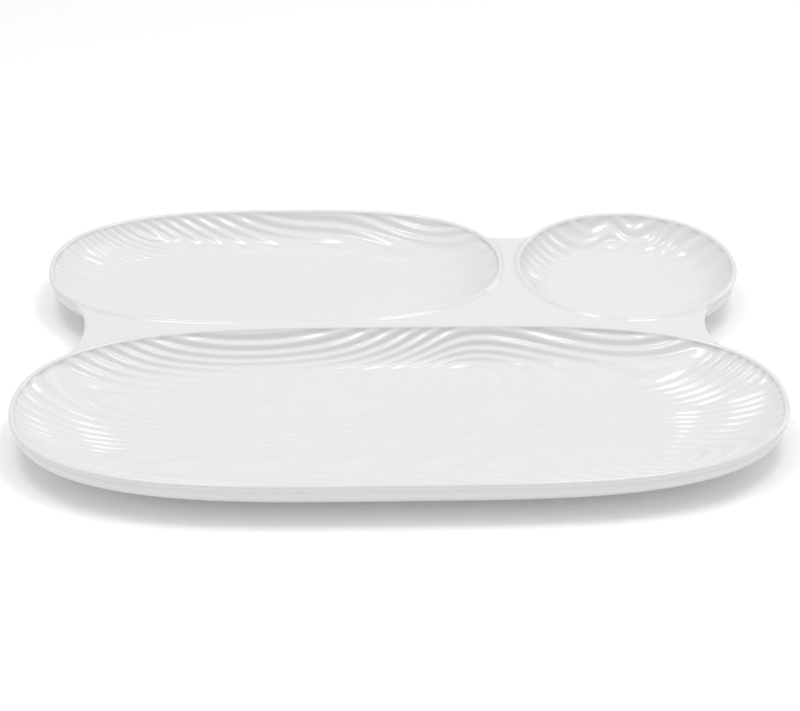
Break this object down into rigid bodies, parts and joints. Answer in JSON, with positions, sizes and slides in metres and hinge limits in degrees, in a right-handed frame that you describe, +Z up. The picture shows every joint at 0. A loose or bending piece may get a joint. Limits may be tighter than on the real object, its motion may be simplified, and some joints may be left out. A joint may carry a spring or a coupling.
{
  "type": "chip and dip server",
  "caption": "Low glazed porcelain server: a long oval chip dish, a medium oval dish and a round dip dish joined at their rims by a flat web.",
  "frame": {"origin": "on the table, under the middle of the server's bounding box", "axes": "+X along the long chip dish towards the dip dish's side, +Y from the chip dish towards the two smaller dishes, +Z up"},
  "size_m": [0.4, 0.2916, 0.024],
  "materials": {
    "glaze": "glossy white glaze over porcelain",
    "bisque": "unglazed fired porcelain, fine matte"
  },
  "bodies": {
    "root": {"chip_dish": "glaze", "medium_dish": "glaze", "dip_dish": "glaze", "bridge_web": "glaze", "chip_foot_ring": "bisque", "medium_foot_ring": "bisque", "dip_foot_ring": "bisque"}
  },
  "joints": []
}
